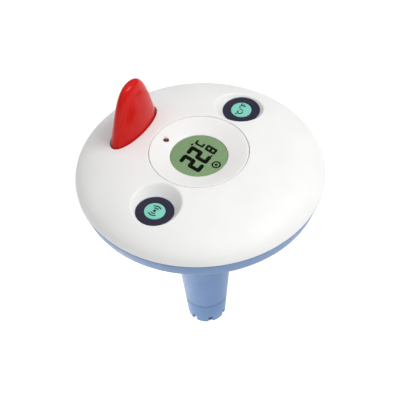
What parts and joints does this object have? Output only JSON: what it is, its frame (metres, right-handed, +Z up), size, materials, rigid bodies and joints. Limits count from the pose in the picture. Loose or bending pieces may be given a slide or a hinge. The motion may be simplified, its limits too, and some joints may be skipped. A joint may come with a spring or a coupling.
{
  "type": "floating pool thermometer",
  "caption": "Domed disc float with a dished digital display, push buttons and an upright fin, over a tapered stem that ends in a slotted screw cap round the water probe.",
  "frame": {"origin": "centre of the slotted cap's rim, the lowest plane of the part", "axes": "+Z up along the stem to the display, +Y from the display towards the fin, +X towards the unit button; the display reads along +X"},
  "size_m": [0.185, 0.185, 0.2226],
  "materials": {
    "white_shell": "satin moulded plastic",
    "blue_hull": "satin moulded plastic",
    "blue_plug": "satin moulded plastic",
    "red_fin": "polished",
    "navy_ring": "satin",
    "mint_cap": "satin with printed mark",
    "clear_window": "polished clear plastic",
    "display_glass": "display glass over a grey-green reflector",
    "lamp_red": "polished epoxy",
    "seal_rubber": "moulded",
    "natural_plastic": "as moulded",
    "circuit_board": "solder mask",
    "black_plastic": "as moulded",
    "stainless_steel": "bright",
    "spring_steel": "drawn wire",
    "contact_brass": "nickel flash",
    "aerial_copper": "bare wire",
    "cell_jacket": "printed jacket, no marks",
    "lead_red": "insulated wire",
    "lead_black": "insulated wire",
    "lead_grey": "insulated wire"
  },
  "bodies": {
    "root": {"antenna_coil": "aerial_copper", "battery_cradle": "natural_plastic", "bezel_gasket": "seal_rubber", "board_header": "black_plastic", "board_screw_1": "stainless_steel", "board_screw_2": "stainless_steel", "board_screw_3": "stainless_steel", "board_screw_4": "stainless_steel", "cell_down": "cell_jacket", "cell_up": "cell_jacket", "controller_chip": "black_plastic", "display_bezel": "white_shell", "display_board": "circuit_board", "display_screw_1": "stainless_steel", "display_screw_2": "stainless_steel", "display_screw_3": "stainless_steel", "display_screw_4": "stainless_steel", "fin": "red_fin", "fin_gasket": "seal_rubber", "fin_screw_1": "stainless_steel", "fin_screw_2": "stainless_steel", "front_zebra_strip": "seal_rubber", "hull_screw_1": "stainless_steel", "hull_screw_2": "stainless_steel", "hull_screw_3": "stainless_steel", "hull_screw_4": "stainless_steel", "hull_screw_5": "stainless_steel", "hull_seal": "seal_rubber", "lcd_carrier": "natural_plastic", "lcd_glass": "display_glass", "lcd_window": "clear_window", "lead_black": "lead_black", "lead_grey": "lead_grey", "lead_red": "lead_red", "led": "lamp_red", "left_button_ring": "navy_ring", "left_button_spring": "spring_steel", "left_switch_body": "black_plastic", "lower_hull": "blue_hull", "main_board": "circuit_board", "negative_spring": "spring_steel", "positive_contact": "contact_brass", "radio_module": "stainless_steel", "rear_zebra_strip": "seal_rubber", "right_button_ring": "navy_ring", "right_button_spring": "spring_steel", "right_switch_body": "black_plastic", "top_shell": "white_shell"},
    "left_button": {"left_button_cap": "mint_cap", "left_stem_seal": "seal_rubber", "left_switch_plunger": "stainless_steel"},
    "right_button": {"right_button_cap": "mint_cap", "right_stem_seal": "seal_rubber", "right_switch_plunger": "stainless_steel"},
    "closure_plug": {"sensor_plug": "blue_plug", "plug_seal": "seal_rubber", "sensor_probe": "stainless_steel", "sensor_pins": "black_plastic", "battery_bridge": "contact_brass"},
    "slotted_cap": {"slotted_cap": "blue_hull"}
  },
  "joints": [
    {"name": "left_button_press", "type": "slide", "parent": "root", "child": "left_button", "axis": [0, 0, -1], "range_m": [0, 0.001], "stiffness_N_per_m": 1500, "deforming": ["left_button_spring"]},
    {"name": "right_button_press", "type": "slide", "parent": "root", "child": "right_button", "axis": [0, 0, -1], "range_m": [0, 0.001], "stiffness_N_per_m": 1500, "deforming": ["right_button_spring"]},
    {"name": "plug_slide", "type": "slide", "parent": "root", "child": "closure_plug", "axis": [0, 0, -1], "range_m": [0, 0.006]},
    {"name": "cap_turn", "type": "hinge", "parent": "closure_plug", "child": "slotted_cap", "pos_m": [0, 0, 0.0125], "axis": [0, 0, -1], "range_deg": [0, 720]}
  ],
  "couplings": [
    {"joint": "plug_slide", "follows": "cap_turn", "m_per_rad": 0.00047746}
  ]
}
